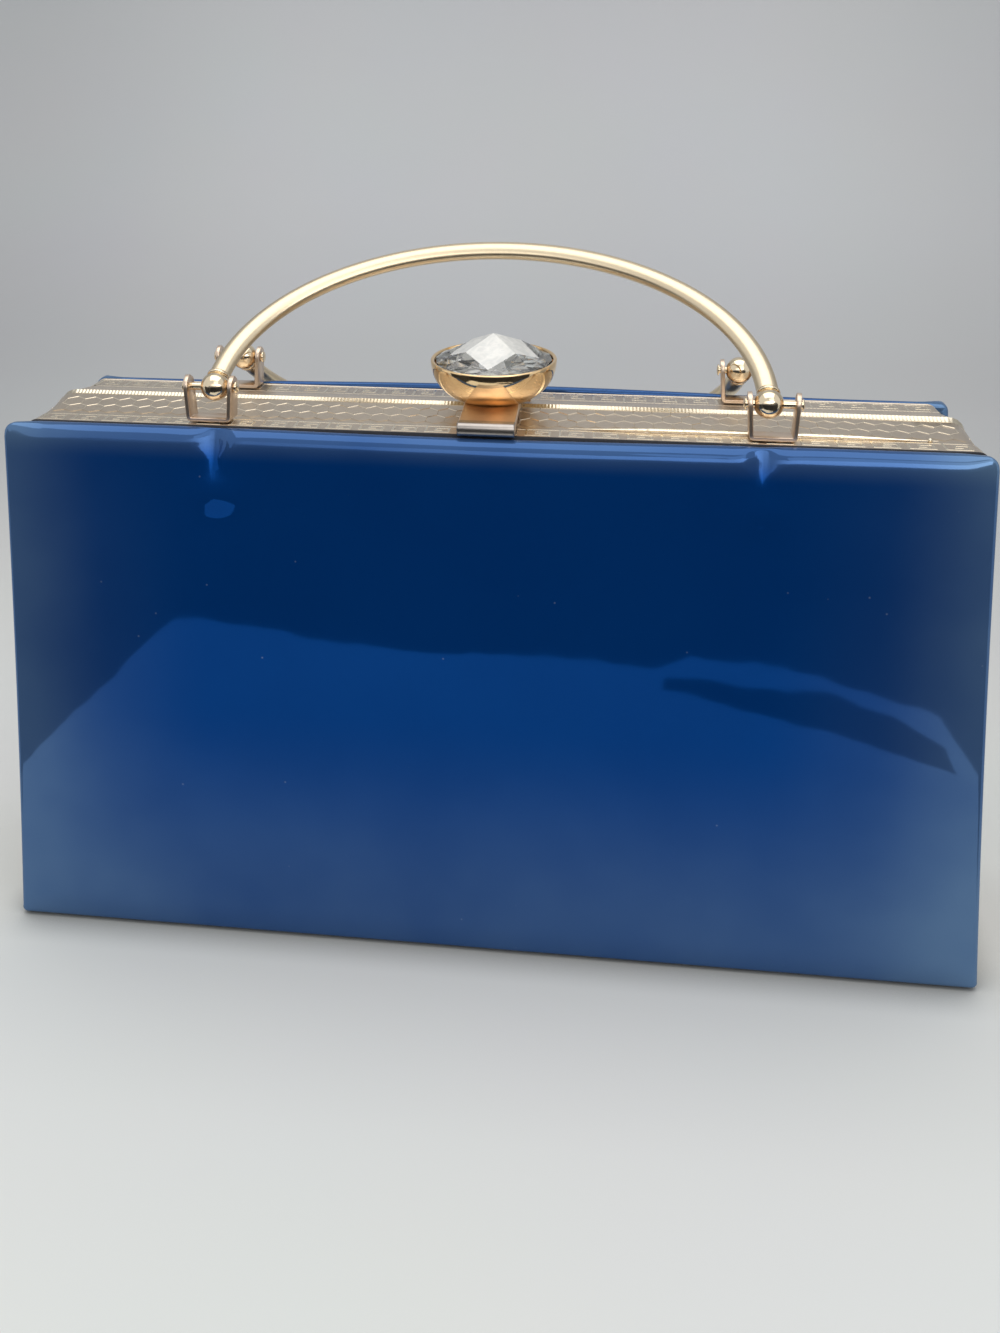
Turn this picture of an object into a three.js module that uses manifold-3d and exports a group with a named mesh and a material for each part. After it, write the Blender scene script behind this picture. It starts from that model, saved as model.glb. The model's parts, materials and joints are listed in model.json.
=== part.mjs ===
// Box clutch: two padded patent panels on a stamped metal frame that opens along the bottom,
// two arched handles on U brackets, and a lift-up clasp with a pointed stone in a cup.
// Millimetres. x runs across the bag, y from its front to its rear, z up from what it stands on.

import * as THREE from 'three';
import { mergeVertices } from 'three/addons/utils/BufferGeometryUtils.js';
import Module from 'manifold-3d';

const wasm = await Module();
wasm.setup();

// Driving dimensions of the whole bag
const topWidth = 247;
const flare = 7.5; // each side stands this much further out at the bottom
const height = 144; // crest of the panels
const panelLift = 0.6; // bottom edge of the panels above the surface
const gap = 0.3; // running gap between neighbouring pieces

// Padded panels
const panelCorner = 2.8;
const footCorner = 1.8;
const sideBow = 0.6; // the sides pull in this much at half height
// How far the top edge of each panel bows up in the middle, and half the length of that bow
const topBow = { front: { rise: -0.6, reach: 85 }, rear: { rise: 1.2, reach: 100 } };
const pucker = { x: 71.5, width: 3.2, reach: 15, dent: 1.1, notch: 0.7 };
const handleShift = { front: 0, rear: -5 }; // the rear handle and its brackets stand left of the middle

// Section of a panel, from its hollow side over the rolled edge to the middle of its face:
// inset from the wide roll along the top, inset from the tighter sides and bottom, depth
const panelRows = [
  { inset: 6.5, edge: 6.5, depth: 28.2 },
  { inset: 4.6, edge: 4.6, depth: 27.6 },
  { inset: 4.2, edge: 4.2, depth: 25.6 },
  { inset: 1.3, edge: 1.3, depth: 25.6 },
  { inset: 0.3, edge: 0.5, depth: 26.0 },
  { inset: 0, edge: 0.1, depth: 26.8 },
  { inset: 0.5, edge: 0, depth: 28.5 },
  { inset: 1.6, edge: 0.2, depth: 29.8 },
  { inset: 3.2, edge: 0.9, depth: 30.5 },
  { inset: 5.5, edge: 2.2, depth: 30.8 },
  { inset: 16, edge: 14, depth: 31.1 },
  { inset: 36, edge: 35, depth: 31.5 },
  { inset: 60, edge: 60, depth: 31.7 },
];
const faceDepth = panelRows.at(-1).depth;

// Metal frame: a hoop over the top and down both sides
const frameTop = height - 0.2;
const frameSideInset = 2.5;
const wallCorner = 8;
const flangeCorner = 3;
const frameFoot = 2.3;

// Sections of the frame halves: depth from the parting plane, rise above the border, radius of the corners
const frontSection = [
  { depth: 25.3, rise: -0.3, corner: flangeCorner },
  { depth: 25.0, rise: 0.15, corner: flangeCorner },
  { depth: 24.2, rise: 0.15, corner: flangeCorner },
  { depth: 24.0, rise: 0, corner: flangeCorner },
  { depth: 16.8, rise: 0, corner: flangeCorner },
  { depth: 16.6, rise: 0.35, corner: wallCorner },
  { depth: 15.9, rise: 0.55, corner: wallCorner },
  { depth: 1.2, rise: 1.4, corner: wallCorner },
  { depth: 0.4, rise: 0.95, corner: wallCorner },
  { depth: -3.4, rise: 0.85, corner: wallCorner },
  { depth: -3.4, rise: -0.1, corner: wallCorner },
  { depth: 1.6, rise: 0.1, corner: wallCorner },
  { depth: 16.9, rise: -0.65, corner: wallCorner },
  { depth: 17.9, rise: -1.2, corner: flangeCorner },
  { depth: 23.9, rise: -1.2, corner: flangeCorner },
  { depth: 23.9, rise: -7, corner: wallCorner },
  { depth: 25.3, rise: -7, corner: wallCorner },
];
const rearSection = [
  { depth: 25.3, rise: -0.3, corner: wallCorner },
  { depth: 25.0, rise: 0.15, corner: wallCorner },
  { depth: 24.2, rise: 0.15, corner: wallCorner },
  { depth: 24.0, rise: 0, corner: wallCorner },
  { depth: 15.4, rise: 0, corner: wallCorner },
  { depth: 1.9, rise: 2.0, corner: wallCorner },
  { depth: 1.6, rise: 2.3, corner: wallCorner },
  { depth: 0.4, rise: 2.35, corner: wallCorner },
  { depth: -0.5, rise: 2.15, corner: wallCorner },
  { depth: -0.6, rise: 1.9, corner: wallCorner },
  { depth: -0.4, rise: 1.6, corner: wallCorner },
  { depth: 3.9, rise: 1.25, corner: wallCorner },
  { depth: 4.1, rise: 0.6, corner: wallCorner },
  { depth: 9.8, rise: -0.3, corner: wallCorner },
  { depth: 15.0, rise: -1.2, corner: wallCorner },
  { depth: 23.9, rise: -1.2, corner: wallCorner },
  { depth: 23.9, rise: -7, corner: wallCorner },
  { depth: 25.3, rise: -7, corner: wallCorner },
];

// Bottom strips and their hinge
const base = {
  halfLength: sideX(frameFoot) - frameSideInset, outer: 25.2, inner: 2.3, thickness: 1.6,
};
const hinge = { z: 1.9, knuckle: 1.7, bore: 1.1, pin: 0.8, split: 32, end: 127 };

// Brackets: U straps that hold the pins of the handles
const bracket = {
  x: 71.45, depth: 19.8, strap: 5.9, thickness: 1.1, footHalf: 5.9, topHalf: 6.5,
  pinHeight: 8.8, bore: 1.35,
};
const pin = { radius: 1, head: 1.7, headHeight: 1.1 };
const pivotZ = frameTop + gap + bracket.pinHeight;

// Handles: an oval tube bent to half an ellipse, with a collar and a ball at each end
const handle = {
  halfSpan: 70.2, rise: 52.8, thin: 2.1, wide: 2.75, ball: 3.7, collar: 3.1, collarLength: 2, bore: 1.35,
};
const frontLean = THREE.MathUtils.degToRad(53.6); // the front handle leans back over the top
const rearFold = THREE.MathUtils.degToRad(126); // the rear handle lies out over the rear edge

// Clasp
const lever = { width: 14.5, hingeDepth: 9, hingeZ: 149.4, knuckle: 1.9, bore: 1.2, pin: 0.9 };
const tongue = { depth: 26.2, z: 145.6, radius: 1.8 }; // rolled end of the lever
const cup = { y: -2, rimZ: 158.9, radius: 16.6, tilt: THREE.MathUtils.degToRad(5) };
const seat = { plateTop: 146.65, plateBottom: 145.75, front: 4.6, rear: 12.6, earInner: 7.6, earOuter: 9.1 };
const stone = {
  girdle: 15.2, girdleTop: -0.6, girdleBottom: -1.2, crown: 10.4, crownTop: 1.5, tip: 0.9, tipTop: 6.9,
};
const pavilion = { radius: 5.4, bottom: -8 };

const materials = {
  patent: new THREE.MeshStandardMaterial({ color: 0x1c4a96, roughness: 0.12, metalness: 0 }),
  frame: new THREE.MeshStandardMaterial({ color: 0xc9bda2, roughness: 0.35, metalness: 1 }),
  polished: new THREE.MeshStandardMaterial({ color: 0xe6d0a4, roughness: 0.12, metalness: 1 }),
  cup: new THREE.MeshStandardMaterial({ color: 0xe0ab62, roughness: 0.1, metalness: 1 }),
  crystal: new THREE.MeshStandardMaterial({ color: 0xf2f5f7, roughness: 0.02, metalness: 0 }),
};

// Turns a geometry's faces outwards when its signed volume comes out negative
function faceOut(geometry) {
  const position = geometry.attributes.position;
  const index = geometry.index.array;
  const corner = [new THREE.Vector3(), new THREE.Vector3(), new THREE.Vector3()];
  let volume = 0;
  for (let i = 0; i < index.length; i += 3) {
    corner.forEach((point, k) => point.fromBufferAttribute(position, index[i + k]));
    volume += corner[0].dot(corner[1].clone().cross(corner[2]));
  }
  if (volume < 0) {
    for (let i = 0; i < index.length; i += 3) {
      [index[i + 1], index[i + 2]] = [index[i + 2], index[i + 1]];
    }
  }
  return geometry;
}

// Triangles of a flat cap, wound the same way round as its ring
function capFaces(ring, flat) {
  const contour = ring.map(flat);
  const ringArea = THREE.ShapeUtils.area(contour);
  return THREE.ShapeUtils.triangulateShape(contour, []).map((face) => {
    const faceArea = THREE.ShapeUtils.area(face.map((k) => contour[k]));
    return faceArea * ringArea > 0 ? face : [face[0], face[2], face[1]];
  });
}

// Side faces between rings that have the same number of points
function skinFaces(ringCount, count) {
  const index = [];
  for (let r = 0; r < ringCount - 1; r += 1) {
    for (let i = 0; i < count; i += 1) {
      const a = r * count + i;
      const b = r * count + ((i + 1) % count);
      index.push(a, b, b + count, a, b + count, a + count);
    }
  }
  return index;
}

function indexed(points, index) {
  const geometry = new THREE.BufferGeometry().setFromPoints(points);
  geometry.setIndex(index);
  return faceOut(geometry);
}

// Skin through rings, closed by a flat cap on the first and last ring
function loft(rings, flat) {
  const count = rings[0].length;
  const last = (rings.length - 1) * count;
  const index = skinFaces(rings.length, count);
  capFaces(rings[0], flat).forEach(([a, b, c]) => index.push(a, c, b));
  capFaces(rings.at(-1), flat).forEach(([a, b, c]) => index.push(last + a, last + b, last + c));
  return indexed(rings.flat(), index);
}

// Skin through convex rings, closed by a fan round the middle of the first and last ring
function loftFanned(rings) {
  const count = rings[0].length;
  const last = (rings.length - 1) * count;
  const points = rings.flat();
  const index = skinFaces(rings.length, count);
  const middles = [rings[0], rings.at(-1)].map((ring) => (
    ring.reduce((sum, point) => sum.add(point), new THREE.Vector3()).divideScalar(count)));
  for (let i = 0; i < count; i += 1) {
    const next = (i + 1) % count;
    index.push(next, i, points.length);
    index.push(last + i, last + next, points.length + 1);
  }
  return indexed([...points, ...middles], index);
}

// A closed geometry as a solid that can be joined and cut
function toSolid(geometry) {
  const bare = geometry.clone();
  bare.deleteAttribute('normal');
  bare.deleteAttribute('uv');
  const merged = mergeVertices(bare, 1e-4);
  return new wasm.Manifold(new wasm.Mesh({
    numProp: 3,
    vertProperties: new Float32Array(merged.attributes.position.array),
    triVerts: new Uint32Array(merged.index.array),
  }));
}

function toGeometry(solid) {
  const mesh = solid.getMesh();
  const geometry = new THREE.BufferGeometry();
  geometry.setAttribute('position', new THREE.BufferAttribute(new Float32Array(mesh.vertProperties), 3));
  geometry.setIndex([...mesh.triVerts]);
  return geometry;
}

function join(geometries, cuts = []) {
  let solid = toSolid(geometries[0]);
  geometries.slice(1).forEach((geometry) => {
    solid = solid.add(toSolid(geometry));
  });
  cuts.forEach((geometry) => {
    solid = solid.subtract(toSolid(geometry));
  });
  return toGeometry(solid);
}

// Round bar along x
function barX(radius, fromX, toX, sides) {
  return new THREE.CylinderGeometry(radius, radius, toX - fromX, sides)
    .rotateZ(-Math.PI / 2)
    .translate((fromX + toX) / 2, 0, 0);
}

// Side view in y and z, extruded across x and centred on it
function slabAcross(shape, width, curveSegments = 6) {
  return new THREE.ExtrudeGeometry(shape, { depth: width, bevelEnabled: false, curveSegments })
    .translate(0, 0, -width / 2)
    .rotateY(Math.PI / 2)
    .rotateX(Math.PI / 2);
}

function sideX(z) {
  return topWidth / 2 + (flare * (height - z)) / (height - panelLift);
}

// Panels: stations along the edges, closer together where the top edge puckers under the brackets
const puckerSteps = [-11, -7, -4.5, -3, -1.5, 0, 1.5, 3, 4.5, 7, 11];
const topPlaces = [-1, 1]
  .flatMap((side) => puckerSteps.map((step) => side * pucker.x + step))
  .concat([-105, -40, -15, 15, 40, 105])
  .sort((a, b) => b - a);
const sideStations = [0.1, 0.25, 0.4, 0.55, 0.7, 0.85, 0.95];
const bottomStations = [-0.7, -0.25, 0.25, 0.7];
const cornerSteps = 4;

function cornerArc(centreX, centreZ, radius, startAngle) {
  return Array.from({ length: cornerSteps + 1 }, (_, k) => {
    const angle = startAngle + (k / cornerSteps) * (Math.PI / 2);
    return new THREE.Vector2(centreX + radius * Math.cos(angle), centreZ + radius * Math.sin(angle));
  });
}

// Closed outline of a panel pulled in by a row's insets, from the bottom left corner round
function panelOutline({ inset, edge }, shift) {
  const topRadius = Math.max(panelCorner - inset, 0.5);
  const footRadius = Math.max(footCorner - edge, 0.5);
  const low = panelLift + edge + footRadius;
  const high = height - inset - topRadius;
  const lowX = sideX(low) - edge - footRadius;
  const highX = sideX(high) - edge - topRadius;
  const topShare = highX / (topWidth / 2 - panelCorner);
  const right = sideStations.map((s) => {
    const z = THREE.MathUtils.lerp(low, high, s);
    return new THREE.Vector2(sideX(z) - edge, z);
  });
  const left = right.map((point) => new THREE.Vector2(-point.x, point.y)).reverse();
  return [
    ...cornerArc(-lowX, low, footRadius, Math.PI),
    ...bottomStations.map((s) => new THREE.Vector2(s * lowX, low - footRadius)),
    ...cornerArc(lowX, low, footRadius, 1.5 * Math.PI),
    ...right,
    ...cornerArc(highX, high, topRadius, 0),
    ...topPlaces.map((x) => new THREE.Vector2((x + shift) * topShare, high + topRadius)),
    ...cornerArc(-highX, high, topRadius, Math.PI / 2),
    ...left,
  ];
}

// Pulls the sides in, bows the top edge and sinks the puckers under the brackets
function softened(point, { edge, depth }, bow, shift) {
  const up = (point.y - panelLift) / (height - panelLift);
  const nearEdge = Math.max(0, 1 - edge / 30);
  const fromTop = height - point.y;
  const across = (Math.abs(point.x - shift) - pucker.x) / pucker.width;
  const fold = Math.exp(-across * across) * Math.exp(-((fromTop / pucker.reach) ** 2));
  const middle = Math.max(0, 1 - (point.x / bow.reach) ** 2) ** 2;
  const lift = bow.rise * middle * Math.exp(-((fromTop / pucker.reach) ** 2));
  const onRoll = depth > panelRows[3].depth ? 1 : 0;
  const outside = depth > panelRows[0].depth ? 1 : 0;
  const x = point.x - Math.sign(point.x) * sideBow * Math.sin(Math.PI * up) * nearEdge;
  const z = point.y + onRoll * (lift - pucker.notch * fold);
  return { x, z, depth: depth - outside * pucker.dent * fold };
}

function makePanel(side, bow, shift) {
  const rings = panelRows.map((row) => panelOutline(row, shift).map((point) => {
    const soft = softened(point, row, bow, shift);
    return new THREE.Vector3(soft.x, side * soft.depth, soft.z);
  }));
  return loftFanned(rings);
}

// Frame halves: stations from the left foot over the top to the right foot, for one radius of the top corners
function frameStations(corner) {
  const lean = Math.atan2(flare, height - panelLift);
  const centreZ = frameTop - corner;
  const centreX = sideX(centreZ) - frameSideInset - corner;
  const steps = 6;
  const right = [];
  [frameFoot, height / 2].forEach((z) => {
    right.push({ x: sideX(z) - frameSideInset, z, angle: lean });
  });
  for (let k = 0; k <= steps; k += 1) {
    const angle = THREE.MathUtils.lerp(lean, Math.PI / 2, k / steps);
    right.push({
      x: centreX + corner * Math.cos(angle), z: centreZ + corner * Math.sin(angle), angle,
    });
  }
  right.push({ x: topWidth / 4, z: frameTop, angle: Math.PI / 2 });
  const left = right.map(({ x, z, angle }) => ({ x: -x, z, angle: Math.PI - angle }));
  return [...left, ...right.reverse()];
}

function makeFrame(side, section) {
  const routes = new Map([wallCorner, flangeCorner].map((corner) => [corner, frameStations(corner)]));
  const rings = routes.get(wallCorner).map((_, station) => section.map(({ depth, rise, corner }) => {
    const { x, z, angle } = routes.get(corner)[station];
    return new THREE.Vector3(x + rise * Math.cos(angle), side * depth, z + rise * Math.sin(angle));
  }));
  return loft(rings, (point) => new THREE.Vector2(point.x, point.y));
}

// Bottom strips: a flat plate with its knuckles on the hinge line
function makeBase(side, knuckles) {
  const plate = new THREE.BoxGeometry(2 * base.halfLength, base.outer - base.inner, base.thickness)
    .translate(0, (side * (base.outer + base.inner)) / 2, base.thickness / 2);
  const webWidth = base.inner - hinge.bore / 2;
  const bars = knuckles.map(([from, to]) => barX(hinge.knuckle, from, to, 14).translate(0, 0, hinge.z));
  const webs = knuckles.map(([from, to]) => new THREE.BoxGeometry(to - from, webWidth + gap, base.thickness)
    .translate((from + to) / 2, (side * (base.inner + gap + hinge.bore / 2)) / 2, base.thickness / 2));
  const bore = barX(hinge.bore, -hinge.end - 1, hinge.end + 1, 12).translate(0, 0, hinge.z);
  return join([plate, ...webs, ...bars], [bore]);
}

// Headed pin along x, from head to head
function makePin(length) {
  const half = length / 2;
  const profile = [
    [0, -half - pin.headHeight],
    [pin.head * 0.7, -half - pin.headHeight * 0.8],
    [pin.head, -half - pin.headHeight * 0.3],
    [pin.head, -half],
    [pin.radius, -half],
    [pin.radius, half],
    [pin.head, half],
    [pin.head, half + pin.headHeight * 0.3],
    [pin.head * 0.7, half + pin.headHeight * 0.8],
    [0, half + pin.headHeight],
  ].map(([radius, along]) => new THREE.Vector2(radius, along));
  return new THREE.LatheGeometry(profile, 10).rotateZ(Math.PI / 2);
}

// U strap with splayed legs and round eyes, standing on z = 0
function makeBracket() {
  const top = bracket.pinHeight + bracket.strap / 2;
  const t = bracket.thickness;
  const strap = new THREE.Shape([
    [-bracket.topHalf, top],
    [-bracket.footHalf, 0],
    [bracket.footHalf, 0],
    [bracket.topHalf, top],
    [bracket.topHalf - t, top],
    [bracket.footHalf - t, t],
    [t - bracket.footHalf, t],
    [t - bracket.topHalf, top],
  ].map(([x, z]) => new THREE.Vector2(x, z)));
  const folded = new THREE.ExtrudeGeometry(strap, { depth: bracket.strap, bevelEnabled: false })
    .translate(0, 0, -bracket.strap / 2)
    .rotateX(Math.PI / 2);
  const eye = new THREE.Shape();
  eye.moveTo(-bracket.strap / 2, -1);
  eye.lineTo(bracket.strap / 2, -1);
  eye.lineTo(bracket.strap / 2, bracket.pinHeight);
  eye.absarc(0, bracket.pinHeight, bracket.strap / 2, 0, Math.PI, false);
  const rounded = toSolid(folded).intersect(toSolid(slabAcross(eye, 4 * bracket.topHalf, 10)));
  const bore = barX(bracket.bore, -2 * bracket.topHalf, 2 * bracket.topHalf, 12)
    .translate(0, 0, bracket.pinHeight);
  return toGeometry(rounded.subtract(toSolid(bore)));
}

class ArchCurve extends THREE.Curve {
  getPoint(t, target = new THREE.Vector3()) {
    const angle = Math.PI * t;
    return target.set(-handle.halfSpan * Math.cos(angle), 0, handle.rise * Math.sin(angle));
  }
}

// Handle standing upright over its pivot line, which runs along x through the balls
function makeHandle() {
  const section = new THREE.Shape().absellipse(0, 0, handle.thin, handle.wide, 0, 2 * Math.PI);
  const route = { steps: 36, extrudePath: new ArchCurve(), curveSegments: 5 };
  const tube = new THREE.ExtrudeGeometry(section, route);
  const ends = [-1, 1].flatMap((side) => {
    const x = side * handle.halfSpan;
    const ball = new THREE.SphereGeometry(handle.ball, 14, 10).rotateZ(Math.PI / 2).translate(x, 0, 0);
    const collar = new THREE.CylinderGeometry(handle.collar, handle.collar, handle.collarLength, 14)
      .rotateX(Math.PI / 2)
      .translate(x, 0, handle.ball + handle.collarLength / 4);
    return [ball, collar];
  });
  const bore = barX(handle.bore, -handle.halfSpan - 8, -handle.halfSpan + 8, 12);
  return join([tube, ...ends], [bore, bore.clone().translate(2 * handle.halfSpan, 0, 0)]);
}

// Side view of the clasp's lever: knuckle, arm over the lip, neck under the cup, tongue with a rolled end
function leverShape() {
  const { hingeDepth, hingeZ, knuckle } = lever;
  const shape = new THREE.Shape();
  shape.moveTo(hingeDepth, hingeZ - knuckle);
  shape.absarc(hingeDepth, hingeZ, knuckle, -Math.PI / 2, Math.PI / 2, false);
  shape.lineTo(6.5, 150.6);
  shape.lineTo(3.5, 149.2);
  shape.lineTo(-7.5, 148.6);
  shape.quadraticCurveTo(-11, 147.7, -23.6, 147.2);
  shape.absarc(-tongue.depth, tongue.z, tongue.radius, Math.PI / 3, 1.5 * Math.PI, false);
  shape.lineTo(1 - tongue.depth, 144.3);
  shape.lineTo(-21, 144.6);
  shape.lineTo(-16.3, 145.6);
  shape.lineTo(-1.6, 145.6);
  shape.lineTo(-1.4, 147.2);
  shape.lineTo(4.2, 147.3);
  shape.lineTo(4.4, 147.8);
  return shape;
}

// Cup bowl with a ledge inside for the stone, about the middle of its rim
function makeBowl() {
  const inner = cup.radius - 1.1;
  const profile = [
    [0, -11.5],
    [5, -11.2],
    [8.5, -10.3],
    [11, -8.9],
    [13, -7],
    [14.8, -4.7],
    [cup.radius - 0.4, -1.9],
    [cup.radius, -0.3],
    [cup.radius - 0.3, 0.15],
    [cup.radius - 0.9, 0.1],
    [inner, -0.5],
    [inner, -1.5],
    [inner - 2, -3.6],
    [9.2, -6.6],
    [6, -8.7],
    [0, -8.9],
  ].map(([radius, z]) => new THREE.Vector2(radius, z));
  return placeInCup(new THREE.LatheGeometry(profile, 32).rotateX(Math.PI / 2));
}

function placeInCup(geometry) {
  return geometry.rotateX(cup.tilt).translate(0, cup.y, cup.rimZ);
}

function makeLever() {
  const bore = barX(lever.bore, -lever.width, lever.width, 12).translate(0, lever.hingeDepth, lever.hingeZ);
  return join([makeBowl(), slabAcross(leverShape(), lever.width)], [bore]);
}

// Round frustum about z between two heights
function frustum(topRadius, topZ, bottomRadius, bottomZ, sides) {
  return new THREE.CylinderGeometry(topRadius, bottomRadius, topZ - bottomZ, sides)
    .rotateX(Math.PI / 2)
    .translate(0, 0, (topZ + bottomZ) / 2);
}

// Stone with a pointed middle that ends in a small table, a lower crown, a girdle and a pavilion
function makeStone() {
  const middleFoot = stone.crown + 1;
  const middle = frustum(stone.tip, stone.tipTop, middleFoot, stone.crownTop - 0.6, 8).rotateZ(Math.PI / 8);
  const crown = frustum(stone.crown, stone.crownTop, stone.girdle, stone.girdleTop, 16);
  const band = frustum(stone.girdle, stone.girdleTop, stone.girdle, stone.girdleBottom, 16);
  const lower = frustum(stone.girdle, stone.girdleBottom, pavilion.radius, pavilion.bottom, 16);
  return placeInCup(join([band, crown, lower, middle]));
}

// Plate on the rear half with an ear at each end of the lever's knuckle
function makeSeat() {
  const thickness = seat.plateTop - seat.plateBottom;
  const plate = new THREE.BoxGeometry(2 * seat.earOuter, seat.rear - seat.front, thickness)
    .translate(0, (seat.front + seat.rear) / 2, (seat.plateTop + seat.plateBottom) / 2);
  const ear = new THREE.Shape();
  ear.moveTo(lever.hingeDepth - lever.knuckle, seat.plateBottom);
  ear.lineTo(lever.hingeDepth + lever.knuckle, seat.plateBottom);
  ear.lineTo(lever.hingeDepth + lever.knuckle, lever.hingeZ);
  ear.absarc(lever.hingeDepth, lever.hingeZ, lever.knuckle, 0, Math.PI, false);
  const ears = [-1, 1].map((side) => slabAcross(ear, seat.earOuter - seat.earInner)
    .translate((side * (seat.earOuter + seat.earInner)) / 2, 0, 0));
  const bore = barX(lever.bore, -2 * seat.earOuter, 2 * seat.earOuter, 12)
    .translate(0, lever.hingeDepth, lever.hingeZ);
  return join([plate, ...ears], [bore]);
}

function named(name, geometry, material) {
  const mesh = new THREE.Mesh(geometry, material);
  mesh.name = name;
  return mesh;
}

// Brackets and pins of one half, left and right
function addBrackets(half, halfName, side) {
  const pinLength = 2 * (bracket.topHalf + gap);
  const middle = handleShift[halfName];
  [['left', -1], ['right', 1]].forEach(([sideName, direction]) => {
    const strap = named(`${halfName}_bracket_${sideName}`, makeBracket(), materials.polished);
    strap.position.set(middle + direction * bracket.x, side * bracket.depth, frameTop + gap);
    const rod = named(`${halfName}_pin_${sideName}`, makePin(pinLength), materials.polished);
    rod.position.set(middle + direction * bracket.x, side * bracket.depth, pivotZ);
    half.add(strap, rod);
  });
}

function makeHalf(halfName, side, section, knuckles) {
  const half = new THREE.Group();
  const pad = makePanel(side, topBow[halfName], handleShift[halfName]);
  half.add(named(`${halfName}_panel`, pad, materials.patent));
  half.add(named(`${halfName}_frame`, makeFrame(side, section), materials.frame));
  half.add(named(`${halfName}_base`, makeBase(side, knuckles), materials.frame));
  addBrackets(half, halfName, side);
  return half;
}

function makePlacedHandle(halfName, side, lean) {
  const mesh = named(`${halfName}_handle`, makeHandle(), materials.polished);
  mesh.position.set(handleShift[halfName], side * bracket.depth, pivotZ);
  mesh.rotation.x = -lean;
  return mesh;
}

function makeClasp() {
  const clasp = new THREE.Group();
  clasp.add(named('clasp_lever', makeLever(), materials.cup));
  clasp.add(named('crystal', makeStone(), materials.crystal));
  return clasp;
}

function makeClutch() {
  const outerKnuckles = [[-hinge.end, -hinge.split], [hinge.split, hinge.end]];
  const middleKnuckle = [[gap - hinge.split, hinge.split - gap]];
  const clutch = new THREE.Group();
  const front = makeHalf('front', -1, frontSection, middleKnuckle);
  const rear = makeHalf('rear', 1, rearSection, outerKnuckles);
  rear.add(named('clasp_seat', makeSeat(), materials.frame));
  rear.add(named('clasp_pin', barX(lever.pin, -seat.earOuter, seat.earOuter, 12)
    .translate(0, lever.hingeDepth, lever.hingeZ), materials.polished));
  rear.add(named('hinge_pin', barX(hinge.pin, -hinge.end, hinge.end, 12)
    .translate(0, 0, hinge.z), materials.frame));
  clutch.add(front, rear, makeClasp());
  clutch.add(makePlacedHandle('front', -1, frontLean));
  clutch.add(makePlacedHandle('rear', 1, rearFold));
  // the origin is under the middle of the whole outline, from the front face to the folded handle
  const bow = Math.hypot(handle.wide * Math.sin(rearFold), handle.thin * Math.cos(rearFold));
  const rearReach = bracket.depth + handle.rise * Math.sin(rearFold) + bow;
  clutch.position.y = (faceDepth - rearReach) / 2;
  return clutch;
}

export default makeClutch();
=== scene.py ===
import json
from math import atan2, ceil, cos, exp, hypot, pi, radians, sin, sqrt

import bmesh
import bpy
from mathutils import Matrix, Vector, noise


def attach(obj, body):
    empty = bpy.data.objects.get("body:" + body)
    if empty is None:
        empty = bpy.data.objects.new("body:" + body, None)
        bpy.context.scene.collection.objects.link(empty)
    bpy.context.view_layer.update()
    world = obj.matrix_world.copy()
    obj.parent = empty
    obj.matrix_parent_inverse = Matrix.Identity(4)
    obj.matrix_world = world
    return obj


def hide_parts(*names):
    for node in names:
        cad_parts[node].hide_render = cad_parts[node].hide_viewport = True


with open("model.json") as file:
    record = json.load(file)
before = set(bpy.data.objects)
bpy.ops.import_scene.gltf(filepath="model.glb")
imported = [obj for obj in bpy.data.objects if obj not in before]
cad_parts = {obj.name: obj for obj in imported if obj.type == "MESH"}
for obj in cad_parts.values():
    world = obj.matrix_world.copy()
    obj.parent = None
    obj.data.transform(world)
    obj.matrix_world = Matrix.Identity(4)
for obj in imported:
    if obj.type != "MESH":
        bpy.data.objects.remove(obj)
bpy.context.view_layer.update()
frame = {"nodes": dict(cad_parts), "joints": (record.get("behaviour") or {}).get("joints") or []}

joints = {joint["name"]: Vector(joint["pos_m"]) for joint in frame["joints"]}
# Pieces are modelled in millimetres about the middle plane of the case
toRow = Matrix.Translation((0, joints["opening"].y, 0)) @ Matrix.Scale(0.001, 4)
scene = bpy.context.scene
print("frame loaded", len(frame["nodes"]), "nodes")


# Shader helpers
def addNode(tree, kind, **values):
    node = tree.nodes.new(kind)
    for key, value in values.items():
        if hasattr(node, key):
            setattr(node, key, value)
        else:
            node.inputs[key.replace("_", " ")].default_value = value
    return node


def setInputs(node, **values):
    for key, value in values.items():
        node.inputs[key.replace("_", " ")].default_value = value


def link(tree, source, output, target, entry):
    tree.links.new(source.outputs[output], target.inputs[entry])


def feed(tree, node, entry, value):
    # A value is a number, a colour, or a node with the output to take from it
    if not isinstance(value, tuple):
        node.inputs[entry].default_value = value
    elif len(value) == 2:
        link(tree, *value, node, entry)
    else:
        node.inputs[entry].default_value = (*value, 1)


def mathNode(tree, operation, *values):
    node = addNode(tree, "ShaderNodeMath", operation=operation)
    for entry, value in enumerate(values):
        feed(tree, node, entry, value)
    return node, 0


def mapRange(tree, value, span, result=(0, 1), kind="SMOOTHSTEP"):
    node = addNode(tree, "ShaderNodeMapRange", interpolation_type=kind, From_Min=span[0], From_Max=span[1],
                   To_Min=result[0], To_Max=result[1])
    feed(tree, node, "Value", value)
    return node, "Result"


def mixColour(tree, share, first, second, kind="MIX"):
    node = addNode(tree, "ShaderNodeMix", data_type="RGBA", blend_type=kind)
    for entry, value in ((0, share), (6, first), (7, second)):
        feed(tree, node, entry, value)
    return node, 2


def addNoise(tree, coords, **values):
    node = addNode(tree, "ShaderNodeTexNoise", **values)
    link(tree, coords, "Object", node, "Vector")
    return node


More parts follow.
